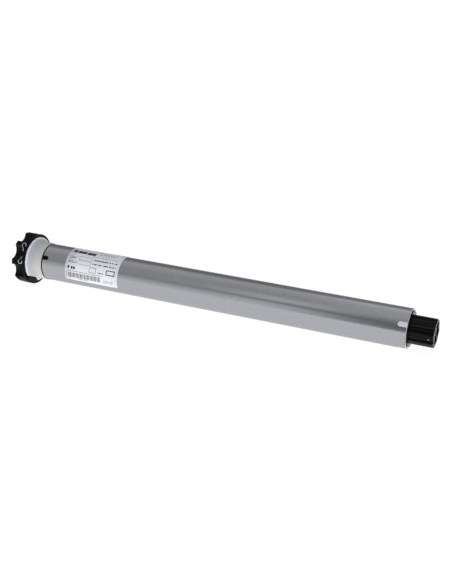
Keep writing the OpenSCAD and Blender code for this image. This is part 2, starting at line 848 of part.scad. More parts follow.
// One long ring gear that serves the three stages
module gear_case() {
    space_turn = (planet_teeth % 2 == 1) ? 0 : 180 / ring_teeth;
    color("gray") difference() {
        bar(body_r, x_case, x_bearing);
        slab(x_case - 1, x_bearing + 1) rotate(space_turn) ring_space_2d();
    }
}

// A planet of a stage at one of three places round the sun, in mesh with the sun and the ring
module planet(stage, place) {
    at = place * 120;
    tooth_turn = at * (1 + sun_teeth / planet_teeth) + 180 - 180 / planet_teeth;
    color("burlywood") polar(planet_orbit_r, at) difference() {
        slab(planet_x(stage), planet_x(stage) + planet_w[stage])
            rotate(tooth_turn) gear_2d(planet_teeth, gear_module);
        bar(planet_pin_r + run_gap, planet_x(stage) - 1, planet_x(stage) + planet_w[stage] + 1);
    }
}

module planet_1a() { planet(0, 0); }

module planet_1b() { planet(0, 1); }

module planet_1c() { planet(0, 2); }

module planet_2a() { planet(1, 0); }

module planet_2b() { planet(1, 1); }

module planet_2c() { planet(1, 2); }

module planet_3a() { planet(2, 0); }

module planet_3b() { planet(2, 1); }

module planet_3c() { planet(2, 2); }

// The round plate of a carrier, with holes for its pins
module carrier_plate(stage) {
    x0 = plate_x(stage);
    difference() {
        bar(plate_r, x0, x0 + plate_t[stage]);
        for (i = [0:2])
            polar(planet_orbit_r, i * 120) bar(planet_pin_r + press_gap, x0 - 1, x0 + plate_t[stage] + 1);
    }
}

// A carrier made in one piece with the next stage's sun gear
module sun_carrier(stage) {
    color("dimgray") {
        carrier_plate(stage);
        slab(plate_x(stage) + 1, planet_x(stage + 1) + planet_w[stage + 1])
            gear_2d(sun_teeth, gear_module);
    }
}

module carrier_1() { sun_carrier(0); }

module carrier_2() { sun_carrier(1); }

// The three pins that a stage's planets turn on
module carrier_pins(stage) {
    color("silver") for (i = [0:2])
        polar(planet_orbit_r, i * 120)
            bar(planet_pin_r, planet_x(stage) - 0.3, plate_x(stage) + plate_t[stage]);
}

module carrier_pins_1() { carrier_pins(0); }

module carrier_pins_2() { carrier_pins(1); }

module carrier_pins_3() { carrier_pins(2); }

// The last carrier is forged in one piece with the output shaft
module output_carrier() {
    color("dimgray") difference() {
        union() {
            carrier_plate(2);
            bar(output_r, plate_x(2) + 1, x_spigot);
            bar(shaft_end_r, x_spigot - 1, x_shaft_end);
        }
        cross_pin_hole(press_gap);
    }
}

// The bearing that closes the tube: two walls with the shaft's bores, a rim and four lugs
module output_bearing() {
    color("ghostwhite") difference() {
        union() {
            bar(body_r, x_bearing, x_end + bearing_rim_t);
            bar(bearing_rim_r, x_end + fit_gap, x_end + bearing_rim_t);
            end_lugs(drive_slot_w, x_end + bearing_rim_t, x_end - drive_slot_l + fit_gap);
        }
        bar(output_r + run_gap, x_bearing - 1, x_end + bearing_rim_t + 1);
        bar(spigot_flange_d / 2 + face_gap, x_end + bearing_recess, x_end + bearing_rim_t + 1);
        bar(body_r - 4, x_bearing + bearing_wall_t, x_end - bearing_wall_t - 3);
    }
}

module cross_pin_hole(gap) {
    translate([x_spigot_end - pin_setback, 0, 0]) rotate([90 + pin_turn, 0, 0])
        cylinder(r = cross_pin_r + gap, h = 2 * spigot_r, center = true);
}

module drive_spigot() {
    turn = 180 / groove_count + pin_turn;
    x_body = x_spigot + spigot_flange_t;
    color([0.08, 0.08, 0.09]) difference() {
        union() {
            bar(spigot_flange_d / 2, x_spigot, x_body);
            intersection() {
                slab(x_body - 0.5, x_spigot_end) rotate(90 + turn)
                    scalloped_2d(spigot_r, groove_count, groove_depth, groove_r);
                turned([[0, x_spigot], [spigot_r + 1, x_spigot], [spigot_r + 1, x_spigot_end - 1.4],
                    [spigot_r - 0.4, x_spigot_end - 0.6], [spigot_r - 1.2, x_spigot_end], [0, x_spigot_end]]);
            }
        }
        bar(shaft_end_r + press_gap, x_spigot - 1, x_shaft_end + 0.1);
        bar(wheel_screw_d / 2, x_shaft_end - 1, x_spigot_end + 1);
        difference() {
            slab(x_spigot_end - hollow_depth, x_spigot_end + 1) rotate(90 + turn)
                scalloped_2d(spigot_r - spigot_wall, groove_count, groove_depth, groove_r + spigot_wall);
            bar(spigot_hub_r, x_spigot_end - hollow_depth - 1, x_spigot_end + 2);
            for (i = [0:3])
                rotate([turn + i * 90, 0, 0]) translate([x_spigot_end - hollow_depth - 1, 0, -0.9])
                    cube([hollow_depth + 3, spigot_r, 1.8]);
        }
        bar(spigot_hub_r + 0.1, x_spigot_end - hub_setback, x_spigot_end + 1);
        cross_pin_hole(press_gap);
    }
}

module cross_pin() {
    color("silver") intersection() {
        cross_pin_hole(0);
        translate([x_spigot_end - pin_setback, 0, 0]) rotate([pin_turn, 0, 0])
            cube([4 * cross_pin_r, 2 * (spigot_r - groove_depth) - 0.6, 4 * cross_pin_r], center = true);
    }
}

motor_tube();
rating_label();
head_star();
head_neck();
crown_guard();
cable_socket();
contact_pins();
crown_ring();
limit_housing();
limit_frame();
wheel_axle();
limit_pinion();
up_wheel_a();
up_wheel_b();
down_wheel_a();
down_wheel_b();
up_switch();
down_switch();
up_lever();
down_lever();
up_adjuster();
down_adjuster();
lead_wires();
capacitor();
capacitor_cradle();
stator_core();
stator_winding();
front_end_shield();
rear_end_shield();
bearing_outer_rings();
bearing_inner_rings();
bearing_balls();
rotor_core();
rotor_shaft();
sun_gear_1();
brake_disc();
brake_armature();
brake_spring();
brake_housing();
gearbox_flange();
gear_case();
planet_1a();
planet_1b();
planet_1c();
carrier_1();
carrier_pins_1();
planet_2a();
planet_2b();
planet_2c();
carrier_2();
carrier_pins_2();
planet_3a();
planet_3b();
planet_3c();
output_carrier();
carrier_pins_3();
output_bearing();
drive_spigot();
cross_pin();
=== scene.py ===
"""Tubular roller shutter motor: star head, crown ring, printed label and fluted drive spigot."""

import math

import bpy
import numpy as np
from bpy.props import FloatProperty, FloatVectorProperty, IntProperty, PointerProperty
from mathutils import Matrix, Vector


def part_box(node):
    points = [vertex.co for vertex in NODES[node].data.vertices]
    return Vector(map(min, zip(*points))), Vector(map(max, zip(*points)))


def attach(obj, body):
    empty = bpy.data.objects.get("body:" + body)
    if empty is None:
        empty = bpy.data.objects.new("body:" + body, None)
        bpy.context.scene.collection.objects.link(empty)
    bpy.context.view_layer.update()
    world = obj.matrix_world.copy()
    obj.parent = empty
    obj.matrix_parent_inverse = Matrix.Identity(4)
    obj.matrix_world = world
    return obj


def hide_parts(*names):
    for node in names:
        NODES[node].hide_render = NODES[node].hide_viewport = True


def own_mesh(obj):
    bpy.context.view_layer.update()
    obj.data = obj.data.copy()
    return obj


bl_info = {
    "name": "Roller Shutter Motor",
    "version": (1, 0, 0),
    "blender": (4, 5, 0),
    "location": "View3D > Sidebar > Shutter Motor",
    "description": "Dresses a tubular roller shutter motor and sets it in a plain studio",
    "category": "Object",
}

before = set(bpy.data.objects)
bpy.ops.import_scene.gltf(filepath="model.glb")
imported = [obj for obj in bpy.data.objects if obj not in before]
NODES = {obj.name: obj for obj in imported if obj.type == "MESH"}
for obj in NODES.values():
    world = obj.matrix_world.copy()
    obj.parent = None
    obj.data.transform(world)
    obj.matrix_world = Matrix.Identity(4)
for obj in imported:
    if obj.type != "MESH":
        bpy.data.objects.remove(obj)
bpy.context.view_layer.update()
MM = 0.001

# lobes of the star head
LOBES = 8

# metres between the bands of a wave texture at scale 1
WAVE_SPACING = 0.314

# the tube's two punched dents: millimetres along the axis, and degrees about it
DENTS = ((260, 182), (285, 167))

# what gloss sees of the room, in bands from the head's end to the drive's: the two values of the
# direction's x between which a band fades in, and its greys by the angle from the zenith to the
# front, in degrees, the two ends first
ROOM_BANDS = (
    (-0.5, -0.45, (
        (-83, 0.32), (89, 0.9), (-57, 0.25), (-29, 0.68), (13, 0.52), (65, 0.48), (79, 0.85),
    )),
    (-0.38, -0.31, (
        (-83, 0.32), (89, 0.9), (-53, 0.28), (-35, 0.68), (1, 0.52), (18, 0.54), (27, 1.0),
        (46, 1.0), (52, 0.48), (65, 0.5), (72, 1.0),
    )),
    (-0.31, -0.22, (
        (-83, 0.32), (90, 0.5), (-57, 0.38), (-43, 0.92), (-25, 0.7), (15, 0.64), (34, 0.38),
        (57, 0.25), (77, 0.2),
    )),
)


def linear(hex_colour):
    """Linear RGB of an sRGB hex colour: a straight foot up to 0.04045, and a 2.4 power above it."""
    srgb = np.array([int(hex_colour[i : i + 2], 16) for i in (0, 2, 4)]) / 255
    rgb = np.where(srgb <= 0.04045, srgb / 12.92, ((srgb + 0.055) / 1.055) ** 2.4)
    return tuple(rgb.tolist())


def shade(colour, factor):
    """A linear colour made darker or lighter by a factor."""
    return tuple(min(1.0, channel * factor) for channel in colour)


def swatch(name, description, hex_colour):
    """A colour property."""
    return FloatVectorProperty(
        name=name, description=description, subtype="COLOR", min=0, max=1,
        default=linear(hex_colour),
    )


def length(name, description, millimetres):
    """A length property, given in millimetres."""
    return FloatProperty(
        name=name, description=description, subtype="DISTANCE", unit="LENGTH", precision=5,
        min=0, default=millimetres * MM,
    )


def place(name, description, metres):
    """A property for a point, given in metres."""
    return FloatVectorProperty(
        name=name, description=description, subtype="TRANSLATION", unit="LENGTH", default=metres
    )


def angle(name, description, degrees):
    """An angle property, given in degrees."""
    return FloatProperty(
        name=name, description=description, subtype="ANGLE", default=math.radians(degrees)
    )


class HeadLooks(bpy.types.PropertyGroup):
    """Star head, neck, guard and the marks on the star's side."""

    nylon: swatch("Black nylon", "Colour of the moulded head", "060607")
    edge: length("Edge rounding", "Width of the rounding on the moulded edges", 0.9)
    ink: swatch("Mark ink", "Colour of the turn arrows on the star", "b6b9be")
    line: length("Mark line", "Width of the arrows' lines", 1.0)
    curl: length("Mark curl", "Radius of the arrows' curls", 2.6)
    tail: length("Mark tail", "Length of the arrows' straight part", 7.4)
    lobe_angle: angle("Lobe", "Direction of the lobe above the arrows, about the axis", 124)
    valley_depth: length("Valley depth", "Depth of the valleys between the lobes", 7.7)
    valley_radius: length("Valley radius", "Radius of the valleys between the lobes", 10)


class CrownLooks(bpy.types.PropertyGroup):
    """Milky crown ring."""

    # painted glow: the thin edge is coloured lighter for the light that shines through it
    rim_glow: swatch("Rim", "Colour of the crown's thin edge", "f6f7fc")
    nylon: swatch("Natural nylon", "Colour of the crown's flare", "c0c1c6")
    warm_nylon: swatch("Warm nylon", "Colour of the crown's thick sleeve", "cdccc6")
    edge: length("Edge rounding", "Width of the rounding on the crown's edges", 0.3)


class TubeLooks(bpy.types.PropertyGroup):
    """Zinc-plated motor tube."""

    zinc: swatch("Zinc", "Lighter colour of the plated steel", "afb0b5")
    dull_zinc: swatch("Dull zinc", "Darker colour of the plated steel", "a1a2a7")
    glancing: swatch("Glancing tint", "Tint of the steel where it is seen aslant", "ececed")
    speckle: length("Speckle", "Size of the frosted grains of the plating", 1.3)
    dent: length("Dent radius", "Radius of the two punched dents", 0.9)


class LabelLooks(bpy.types.PropertyGroup):
    """Printed film round the tube."""

    film: swatch("Film", "Colour of the label film", "f0f1f4")
    ink: swatch("Ink", "Colour of the print", "26272b")
    corner: length("Corner radius", "Radius of the film's corners", 2.0)
    thickness: length("Thickness", "Thickness of the film", 0.1)
    first_edge: angle("First edge", "Direction of the film's first edge, about the axis", 55)
    wrap: angle("Wrap", "Angle that the film covers", 147)
    ticks: IntProperty(
        name="Ticks", description="Number of bars in the tick block", default=27, min=5, max=60
    )


class DriveLooks(bpy.types.PropertyGroup):
    """Drive spigot and the bearing in the tube's end."""

    gloss_black: swatch("Gloss black", "Colour of the spigot", "030304")
    acetal: swatch("White acetal", "Colour of the output bearing", "d2d3d8")
    edge: length("Edge rounding", "Width of the rounding on the spigot's edges", 0.4)


class InsideLooks(bpy.types.PropertyGroup):
    """Limit unit, motor, brake and gearbox inside the tube."""

    acetal: swatch("White acetal", "Colour of the limit unit's frame and wheels", "e2e1db")
    down_screw: swatch("Yellow acetal", "Colour of one of the two adjusting screws", "d9a51c")
    grey_pbt: swatch("Grey PBT", "Colour of the switches, the cradle and the socket", "55575b")
    copper: swatch("Enamelled copper", "Colour of the windings", "a65c2b")
    gear_nylon: swatch("Gear nylon", "Colour of the first stage's planets", "d8cfae")


class StageLooks(bpy.types.PropertyGroup):
    """Floor, light and camera."""

    azimuth: angle("Azimuth", "Camera's direction round the motor", 23.873)
    elevation: angle("Elevation", "Camera's height above the horizon", 24.926)
    distance: length("Distance", "Camera's distance from its aim point", 1095.77)
    aim: place("Aim point", "Point that the camera looks at", (0.27666, 0.0011, 0.00216))
    lens: FloatProperty(
        name="Lens", description="Focal length in millimetres", default=58.17, min=10
    )
    floor_side: length("Floor side", "Side of the square floor", 14000)
    room_light: swatch("Room light", "Colour of the room's even light", "f3f8ff")
    lamp_power: FloatProperty(
        name="Lamp", description="Power of the soft lamp", subtype="POWER", default=8, min=0
    )
    lamp_size: length("Lamp size", "Diameter of the soft lamp", 1200)
    lamp_place: place("Lamp place", "Where the soft lamp stands", (1.0, -1.9, 0.8))
    lamp_aim: place("Lamp aim", "Point that the soft lamp faces", (0.26, 0, 0))


class MotorLooks(bpy.types.PropertyGroup):
    """Everything that the panel shows."""

    head: PointerProperty(type=HeadLooks)
    crown: PointerProperty(type=CrownLooks)
    tube: PointerProperty(type=TubeLooks)
    label: PointerProperty(type=LabelLooks)
    drive: PointerProperty(type=DriveLooks)
    inside: PointerProperty(type=InsideLooks)
    stage: PointerProperty(type=StageLooks)


# Finishes


def add_node(tree, kind, inputs=None, stops=(), **settings):
    """Adds a shader node with its settings, and sets or links its inputs by name or number.

    stops are a colour ramp's places and colours, its two ends first.
    """
    node = tree.nodes.new("ShaderNode" + kind)
    for name, value in settings.items():
        setattr(node, name, value)
    for key, value in (inputs or {}).items():
        if isinstance(value, bpy.types.NodeSocket):
            tree.links.new(value, node.inputs[key])
        else:
            node.inputs[key].default_value = value
    for i, (position, colour) in enumerate(stops):
        stop = node.color_ramp.elements[i] if i < 2 else node.color_ramp.elements.new(position)
        stop.position, stop.color = position, (*colour, 1)
    return node


def grained(
    name, dark, light, grain, roughness, metallic=0.0, bump=0.0, stretch=1.0, constants=None
):
    """A finish whose colour, gloss and height vary from grain to grain.

    dark and light are linear colours, grain is the grains' size in mm, roughness its lowest and
    highest value, bump the grains' height in mm, and stretch how many times longer than wide they
    lie along the axis. Grains that are finer in truth are drawn as coarse as they need to show.
    Returns the material, its tree, and a table of its shader and the sockets that more builds on.
    """
    material = bpy.data.materials.new(name)
    material.use_nodes = True
    tree = material.node_tree
    shader = tree.nodes["Principled BSDF"]
    for key, value in {"Metallic": metallic, **(constants or {})}.items():
        shader.inputs[key].default_value = value
    surface = add_node(tree, "TexCoord").outputs["Object"]
    lie = add_node(tree, "Mapping", {"Vector": surface, "Scale": (1 / stretch, 1, 1)})
    grains = add_node(tree, "TexNoise", {
        "Vector": lie.outputs[0], "Scale": 1 / (grain * MM), "Detail": 3, "Roughness": 0.6
    }).outputs[0]
    # nearly all of the noise lies between these two values
    lowest, highest = 0.3, 0.7
    spread = add_node(tree, "MapRange", {0: grains, 1: lowest, 2: highest})
    colours = {0: spread.outputs[0], 6: (*dark, 1), 7: (*light, 1)}
    tone = add_node(tree, "Mix", colours, data_type="RGBA").outputs[2]
    gloss = add_node(
        tree, "MapRange", {0: grains, 1: lowest, 2: highest, 3: roughness[0], 4: roughness[1]}
    )
    tree.links.new(tone, shader.inputs["Base Color"])
    tree.links.new(gloss.outputs[0], shader.inputs["Roughness"])
    relief = None
    if bump:
        relief = add_node(tree, "Bump", {"Height": grains, "Distance": bump * MM}).outputs[0]
        tree.links.new(relief, shader.inputs["Normal"])
    return material, tree, {"shader": shader, "place": surface, "tone": tone, "relief": relief}


def even_finish(name, dark, light, **settings):
    """A grained finish with nothing more to it."""
    return grained(name, dark, light, **settings)[0]


def glass_filled_nylon(looks):
    """Glass-filled nylon, moulded: near black, with a grey bloom where fibres reach the skin."""
    return even_finish(
        "black_glass_filled_nylon", shade(looks.nylon, 0.8), shade(looks.nylon, 1.5),
        grain=0.7, roughness=(0.4, 0.54), bump=0.02, constants={"Specular IOR Level": 0.085},
    )


def natural_nylon(looks):
    """Natural nylon, turned: milky and cool, warmer in the thick sleeve, and painted lighter at the
    thin rim for the light that shines through it.
    """
    material, tree, nodes = grained(
        "milky_natural_nylon", looks.nylon, shade(looks.nylon, 1.03),
        grain=4, roughness=(0.34, 0.42), bump=0.01,
        constants={
            "Subsurface Weight": 0.5, "Subsurface Radius": (1.0, 1.0, 1.0),
            "Subsurface Scale": 3 * MM,
        },
    )
    low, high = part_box("crown_ring")
    along = add_node(tree, "SeparateXYZ", {0: nodes["place"]}).outputs[0]
    # the colour warms between these two shares of the crown's length
    warm_start, warm_end = (low.x + share * (high.x - low.x) for share in (0.3, 0.75))
    warmth = add_node(
        tree, "MapRange", {0: along, 1: warm_start, 2: warm_end}, interpolation_type="SMOOTHSTEP"
    )
    colours = {0: warmth.outputs[0], 6: nodes["tone"], 7: (*looks.warm_nylon, 1)}
    tone = add_node(tree, "Mix", colours, data_type="RGBA").outputs[2]
    # the rim is 2 mm thick, and a painted glow, for the light that shines through it, fades over
    # 0.8 mm about its inner face
    rim_start, rim_end = low.x + 1.6 * MM, low.x + 2.4 * MM
    thin = add_node(tree, "MapRange", {0: along, 1: rim_start, 2: rim_end, 3: 1.0, 4: 0.0})
    colours = {0: thin.outputs[0], 6: tone, 7: (*looks.rim_glow, 1)}
    tone = add_node(tree, "Mix", colours, data_type="RGBA").outputs[2]
    tree.links.new(tone, nodes["shader"].inputs["Base Color"])
    return material


def plated_tube_steel(looks):
    """Drawn steel tube, zinc plated: satin grey, finely frosted, with draw lines and two dents."""
    material, tree, nodes = grained(
        "zinc_plated_tube_steel", looks.dull_zinc, looks.zinc,
        grain=looks.speckle / MM, roughness=(0.13, 0.19), metallic=1.0, bump=0.005,
        constants={"Specular Tint": (*looks.glancing, 1)},
    )
    # draw lines 0.8 mm wide and over 100 mm long, coarser than real ones so that they show
    lie = add_node(tree, "Mapping", {"Vector": nodes["place"], "Scale": (0.007, 1, 1)})
    lines = add_node(tree, "TexNoise", {"Vector": lie.outputs[0], "Scale": 1 / (0.8 * MM)})
    relief = add_node(
        tree, "Bump",
        {"Height": lines.outputs[0], "Distance": 0.006 * MM, "Normal": nodes["relief"]},
    )
    # each dent is a bowl half a millimetre deep
    for x, turn in DENTS:
        centre = wrapped(x * MM, math.radians(turn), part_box("motor_tube")[1].z)
        off = add_node(
            tree, "VectorMath", {0: nodes["place"], 1: centre.tolist()}, operation="DISTANCE"
        )
        bowl = add_node(
            tree, "MapRange", {0: off.outputs["Value"], 1: 0.0, 2: looks.dent},
            interpolation_type="SMOOTHSTEP",
        )
        relief = add_node(
            tree, "Bump",
            {"Height": bowl.outputs[0], "Distance": 0.5 * MM, "Normal": relief.outputs[0]},
        )
    tree.links.new(relief.outputs[0], nodes["shader"].inputs["Normal"])
    return material


def label_film(looks):
    """Polyester label film: white, smooth and softly glossy."""
    return even_finish(
        "white_polyester_film", shade(looks.film, 0.97), looks.film,
        grain=3, roughness=(0.24, 0.3), bump=0.002,
        constants={"Coat Weight": 0.3, "Coat Roughness": 0.2},
    )


def printed_ink(name, colour, roughness):
    """Screen ink: flat and opaque, a little uneven where it dried."""
    return even_finish(
        name, shade(colour, 0.85), shade(colour, 1.15), grain=0.8, roughness=roughness
    )


def gloss_moulding(looks):
    """Black acetal from a polished mould: glossy, with fine flow streaks along the flutes."""
    return even_finish(
        "black_gloss_acetal", shade(looks.gloss_black, 0.8), shade(looks.gloss_black, 1.6),
        grain=1.2, roughness=(0.12, 0.26), bump=0.01, stretch=8,
        constants={"Specular IOR Level": 0.15},
    )


def white_acetal(looks):
    """White acetal, moulded: opaque white with a soft sheen."""
    return even_finish(
        "white_acetal", shade(looks.acetal, 0.96), looks.acetal,
        grain=2, roughness=(0.3, 0.4), bump=0.005,
        constants={
            "Subsurface Weight": 0.15, "Subsurface Radius": (1.0, 1.0, 1.0),
            "Subsurface Scale": 1 * MM,
        },
    )


def laminated_iron():
    """Stack of varnished electrical sheets: dark, with a fine line between every two sheets.

    Real sheets are half a millimetre thick. They are drawn 1 mm thick, so that they show.
    """
    material, tree, nodes = grained(
        "varnished_laminations", linear("3f4247"), linear("5a5e64"),
        grain=2, roughness=(0.35, 0.5), metallic=0.9, bump=0.004,
    )
    sheets = add_node(
        tree, "TexWave", {"Vector": nodes["place"], "Scale": WAVE_SPACING / (1.0 * MM)},
        wave_profile="SAW",
    )
    groove = add_node(
        tree, "Bump",
        {"Height": sheets.outputs["Fac"], "Distance": 0.05 * MM, "Normal": nodes["relief"]},
    )
    tree.links.new(groove.outputs[0], nodes["shader"].inputs["Normal"])
    return material


def wound_copper(looks):
    """Enamelled copper wire in tight turns: warm, glossy, ribbed by wires 0.8 mm apart."""
    material, tree, nodes = grained(
        "enamelled_copper", shade(looks.copper, 0.7), shade(looks.copper, 1.2),
        grain=2, roughness=(0.22, 0.34), metallic=0.85, bump=0.01,
    )
    turns = add_node(
        tree, "TexWave",
        {"Vector": nodes["place"], "Scale": WAVE_SPACING / (0.8 * MM), "Distortion": 1.5},
        bands_direction="Z",
    )
    ribs = add_node(
        tree, "Bump",
        {"Height": turns.outputs["Fac"], "Distance": 0.3 * MM, "Normal": nodes["relief"]},
    )
    tree.links.new(ribs.outputs[0], nodes["shader"].inputs["Normal"])
    return material


def lead_insulation():
    """PVC insulation: four wires side by side, each with its own colour by its place across."""
    material, tree, nodes = grained(
        "lead_insulation", linear("1c3f8c"), linear("23499c"), grain=2, roughness=(0.35, 0.45)
    )
    across = add_node(tree, "SeparateXYZ", {0: nodes["place"]})
    # the four wires lie within 6 mm of the motor's middle plane
    share = add_node(tree, "MapRange", {0: across.outputs[1], 1: -6 * MM, 2: 6 * MM})
    brown, blue, black, green = (linear(c) for c in ("5b3822", "22489a", "1b1c1e", "8a9a2c"))
    colours = add_node(
        tree, "ValToRGB", {0: share.outputs[0]},
        stops=[(0.0, brown), (0.28, blue), (0.5, black), (0.72, green)],
    )
    colours.color_ramp.interpolation = "CONSTANT"
    tree.links.new(colours.outputs[0], nodes["shader"].inputs["Base Color"])
    return material


def white_paper():
    """White paper: it throws light on the motor, and itself looks white with a faint shadow."""
    material = bpy.data.materials.new("white_paper_floor")
    material.use_nodes = True
    tree = material.node_tree
    tree.nodes.clear()
    white, grey = (*linear("ffffff"), 1), (*linear("818181"), 1)
    glow = add_node(tree, "Emission", {"Color": white, "Strength": 0.92})
    shadowed = add_node(tree, "BsdfDiffuse", {"Color": grey})
    looked_at = add_node(tree, "AddShader", {0: glow.outputs[0], 1: shadowed.outputs[0]})
    thrown = add_node(tree, "Emission", {"Color": white, "Strength": 1.2})
    # the lens, the gloss and clear parts look at the paper, and all else only takes its light
    path = add_node(tree, "LightPath").outputs
    seen = add_node(
        tree, "Math", {0: path["Is Camera Ray"], 1: path["Is Glossy Ray"]}, operation="MAXIMUM"
    )
    seen = add_node(
        tree, "Math", {0: seen.outputs[0], 1: path["Is Transmission Ray"]}, operation="MAXIMUM"
    )
    pick = add_node(
        tree, "MixShader", {0: seen.outputs[0], 1: thrown.outputs[0], 2: looked_at.outputs[0]}
    )
    add_node(tree, "OutputMaterial", {"Surface": pick.outputs[0]})
    return material


def dress(material, *names):
    """Gives these CAD nodes one material."""
    for name in names:
        NODES[name].data.materials.clear()
        NODES[name].data.materials.append(material)


def round_edges(width, *names):
    """Rounds the sharp edges of CAD nodes in the view, as a mould or a file leaves them.

    Corners within a thousandth of a millimetre are joined, faces within half a degree are made
    one, and what then still turns by more than 35 degrees is an edge.
    """
    for name in names:
        node = NODES[name]
        weld = node.modifiers.new("joined corners", "WELD")
        weld.merge_threshold = 0.001 * MM
        flat = node.modifiers.new("flat faces", "DECIMATE")
        flat.decimate_type = "DISSOLVE"
        flat.angle_limit = math.radians(0.5)
        bevel = node.modifiers.new("edge rounding", "BEVEL")
        bevel.width, bevel.segments = width, 3
        bevel.limit_method, bevel.angle_limit = "ANGLE", math.radians(35)
        bevel.harden_normals = True


# Surfaces


def grid_faces(rows, columns):
    """Quads between neighbouring points of a grid whose points are counted along its rows."""
    first = (np.arange(rows - 1)[:, None] * columns + np.arange(columns - 1)).ravel()
    return np.stack([first, first + columns, first + columns + 1, first + 1], axis=1)


def add_piece(name, points, faces, material, body):
    """A smooth mesh piece of these points and faces that rides on a body, or on none."""
    mesh = bpy.data.meshes.new(name)
    mesh.from_pydata(points.reshape(-1, 3), [], faces.tolist())
    mesh.polygons.foreach_set("use_smooth", np.ones(len(faces), bool))
    mesh.materials.append(material)
    mesh.update()
    piece = bpy.data.objects.new(name, mesh)
    bpy.context.scene.collection.objects.link(piece)
    if body:
        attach(piece, body)
    return piece


def thicken(piece, thickness):
    """Gives an open sheet its thickness, on the side that its faces look to."""
    solidify = piece.modifiers.new("thickness", "SOLIDIFY")
    solidify.thickness, solidify.offset = thickness, 1.0


def wrapped(x, turn, radius):
    """Points at x along the axis, at an angle turn about it and a radius from it.

    y is the radius times the turn's cosine, and z is the radius times its sine.
    """
    y, z = radius * np.cos(turn), radius * np.sin(turn)
    return np.stack(np.broadcast_arrays(x, y, z), axis=-1)


def film_grid(x0, x1, turn0, turn1, radius, corner, corner_rows=10, middle_rows=60, columns=5):
    """A rounded rectangle wrapped round the tube, from one x and turn to the other.

    Each row runs along the axis. Near the two ends a row is inset by corner * (1 - sin a), where
    its distance from the end is corner * (1 - cos a), so that the row's ends trace the corner's
    quarter circle.
    """
    a = np.linspace(0, math.pi / 2, corner_rows)
    down, inset = corner * (1 - np.cos(a)), corner * (1 - np.sin(a))
    reach = (turn1 - turn0) * radius
    middle = np.linspace(corner, reach - corner, middle_rows)[1:-1]
    down = np.concatenate([down, middle, reach - down[::-1]])
    inset = np.concatenate([inset, np.zeros(len(middle)), inset[::-1]])
    across = np.linspace(0, 1, columns)
    x = x0 + inset[:, None] + across * (x1 - x0 - 2 * inset[:, None])
    return wrapped(x, turn0 + down[:, None] / radius, radius), grid_faces(len(down), columns)


def print_grid(bars, x0, turn0, radius, steps=24):
    """Rectangles of ink on the film, each bent round the tube in steps.

    Each row of bars holds a rectangle's start and end along the axis, and its start and end down
    the film. A distance down the film is an angle of that distance over the radius.
    """
    t = np.linspace(0, 1, steps)
    down = bars[:, 2, None] + t * (bars[:, 3] - bars[:, 2])[:, None]
    x = x0 + bars[:, None, :2]
    points = wrapped(x, (turn0 + down / radius)[:, :, None], radius)
    faces = grid_faces(steps, 2) + (np.arange(len(bars)) * 2 * steps)[:, None, None]
    return points, faces.reshape(-1, 4)


def dashes(x0, x1, down, height, seed, longest=1.7):
    """A row of small bars of uneven lengths, in mm, with a wider space after every few.

    Each bar starts at the sum of the bars and spaces before it.
    """
    count, shortest = 60, 0.5
    space, wide_space, wide_share = 0.42, 1.5, 0.22
    rng = np.random.default_rng(seed)
    dash = rng.uniform(shortest, longest, count)
    gap = np.where(rng.uniform(size=count) < wide_share, wide_space, space)
    start = x0 + np.concatenate([[0], np.cumsum(dash + gap)[:-1]])
    row = np.stack(np.broadcast_arrays(start, start + dash, down, down + height), axis=1)
    return row[row[:, 1] < x1]


def frame_lines(x0, x1, down0, down1, line):
    """The four bars of a thin frame."""
    return np.array([
        [x0, x1, down0, down0 + line],
        [x0, x1, down1 - line, down1],
        [x0, x0 + line, down0, down1],
        [x1 - line, x1, down0, down1],
    ])


def star_radius(turn, radius, looks):
    """Radius of the star's side in a direction.

    Each valley is a circle of valley_radius whose centre lies at distance d on the valley's middle
    line, and a ray at an angle a from that line meets it at
    d cos a - sqrt(valley_radius^2 - d^2 sin^2 a).
    """
    pitch = math.tau / LOBES
    a = (turn - looks.lobe_angle) % pitch - pitch / 2
    d = radius - looks.valley_depth + looks.valley_radius
    under = looks.valley_radius**2 - (d * np.sin(a)) ** 2
    valley = d * np.cos(a) - np.sqrt(np.abs(under))
    return np.minimum(radius, np.where(under > 0, valley, radius))


def turn_arrow(looks, side, steps=60):
    """A curled arrow as a ribbon: left and right points of its path, along the axis and down.

    The path's heading turns evenly through 240 degrees round the curl and then keeps straight, and
    its points are the running sum of the heading. The ribbon is as wide as the line. Its head is
    three lines long, starts 2.4 lines wide and narrows to the tip.
    """
    curl_length = math.radians(240) * looks.curl
    total = curl_length + looks.tail
    s = np.linspace(0, total, steps)
    heading = side * (math.radians(90) + np.clip((curl_length - s) / looks.curl, 0, None))
    step = total / (steps - 1)
    path = np.stack([np.cumsum(np.cos(heading)), np.cumsum(np.sin(heading))], axis=1) * step
    path -= path[np.searchsorted(s, curl_length)]
    head = 3 * looks.line
    # the tip keeps a little width, so that its two points don't fall together
    narrowing = 1.2 * looks.line * np.clip((total - s) / head, 0.02, 1)
    half = np.where(s < total - head, looks.line / 2, narrowing)
    normal = np.stack([-np.sin(heading), np.cos(heading)], axis=1)
    sides = np.array([-1, 1])[None, :, None]
    return path[:, None] + normal[:, None] * half[:, None, None] * sides


# Operators


